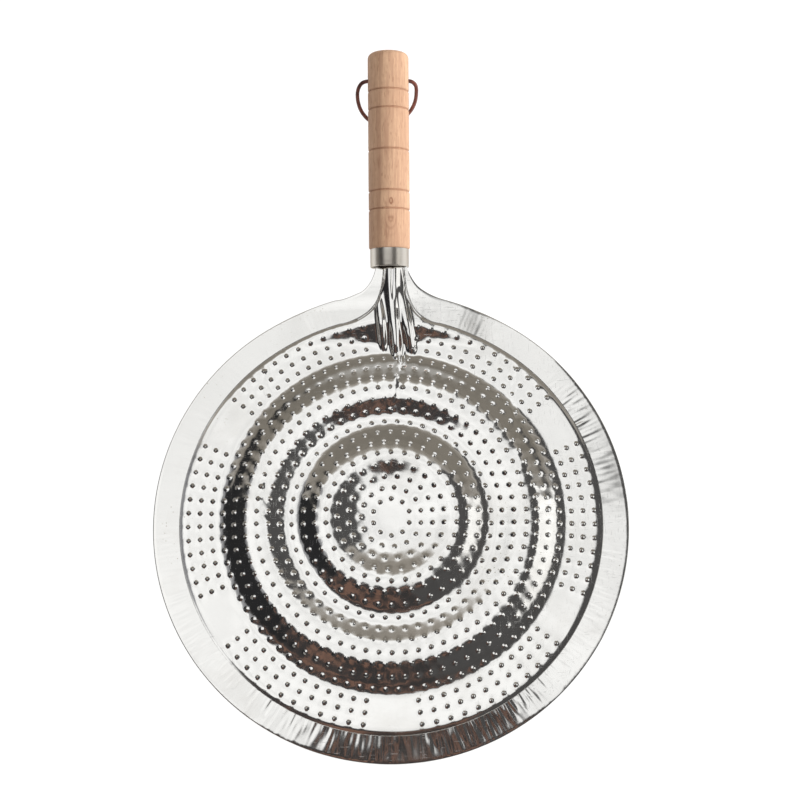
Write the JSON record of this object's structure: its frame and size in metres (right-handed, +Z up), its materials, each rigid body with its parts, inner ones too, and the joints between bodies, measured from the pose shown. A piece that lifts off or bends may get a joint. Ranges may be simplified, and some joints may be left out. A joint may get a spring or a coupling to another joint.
{
  "type": "stove-top heat diffuser",
  "caption": "Round double-walled perforated tinplate heat diffuser with pressed rings, a folded hem, a raised turned wooden handle and a cord loop to hang it by.",
  "frame": {"origin": "middle of the flat pad under the base plate, on the surface that the diffuser stands on", "axes": "+Z up through the plates towards the pan, +Y from the plates' middle towards the handle, +X to the right"},
  "size_m": [0.21, 0.3204, 0.0437],
  "materials": {
    "tinplate": "bright pressed tinplate with handling marks",
    "satin_nickel": "satin nickel plate",
    "beech": "turned and sanded, unvarnished",
    "leather_cord": "waxed round lace, dark red-brown"
  },
  "bodies": {
    "diffuser": {"base_plate": "tinplate", "top_plate": "tinplate", "ferrule": "satin_nickel", "handle": "beech"},
    "loop": {"hang_loop": "leather_cord"}
  },
  "joints": [
    {"name": "loop_swing", "type": "hinge", "parent": "diffuser", "child": "loop", "pos_m": [0, 0.20125, 0.03184], "axis": [1, 0, 0], "range_deg": [0, 298]}
  ]
}
